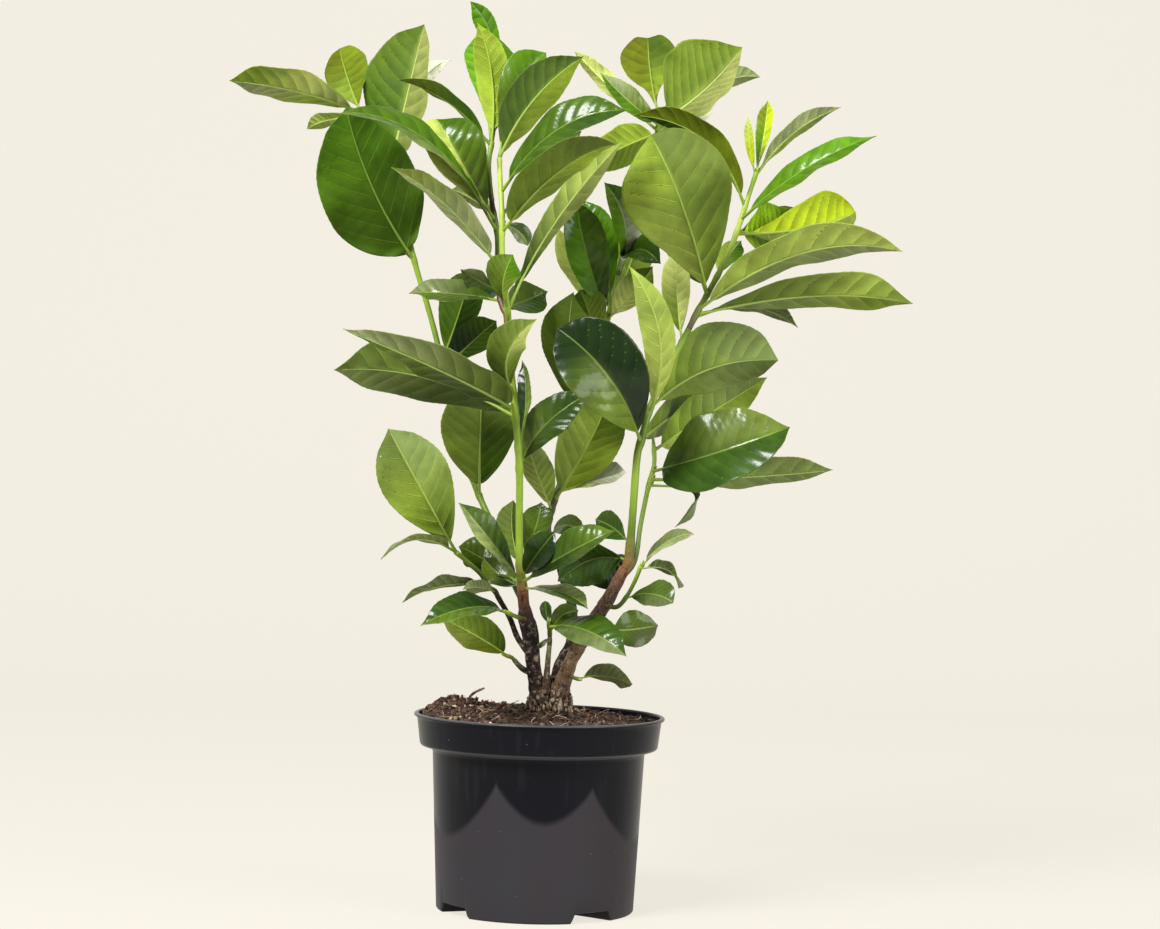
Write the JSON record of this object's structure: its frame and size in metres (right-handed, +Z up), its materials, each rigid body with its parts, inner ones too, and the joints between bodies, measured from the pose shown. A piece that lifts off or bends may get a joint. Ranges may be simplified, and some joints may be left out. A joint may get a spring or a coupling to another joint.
{
  "type": "potted cherry laurel",
  "caption": "Leafy evergreen shrub with woody stems and large glossy leaves, rooted in a filled round plastic nursery pot.",
  "frame": {"origin": "centre of the pot's foot, on the surface that it stands on", "axes": "+Z up along the pot's axis, +X to the right as the plant is seen from its front, -Y to the front"},
  "size_m": [0.5229, 0.3405, 0.6832],
  "materials": {
    "pot_plastic": "thin black moulded plastic, satin to glossy, dusty",
    "peat": "crumbly damp potting peat",
    "bark": "rough brown bark",
    "leaf": "leathery green leaves, glossy above and matte below"
  },
  "bodies": {
    "root": {"pot": "pot_plastic", "peat": "peat", "loose_twig": "bark", "crown": "bark", "shoot_left": "leaf", "shoot_left_dark": "leaf", "shoot_left_bright": "leaf", "shoot_far_left": "leaf", "shoot_rear": "leaf", "shoot_top": "leaf", "shoot_right": "leaf", "shoot_right_top": "leaf", "shoot_right_thin": "leaf", "shoot_low_left": "leaf", "sprout_left": "leaf", "sprout_dark_left": "leaf", "sprout_centre": "leaf", "sprout_front": "leaf", "sprout_right": "leaf", "sprout_right_low": "leaf"}
  },
  "joints": []
}
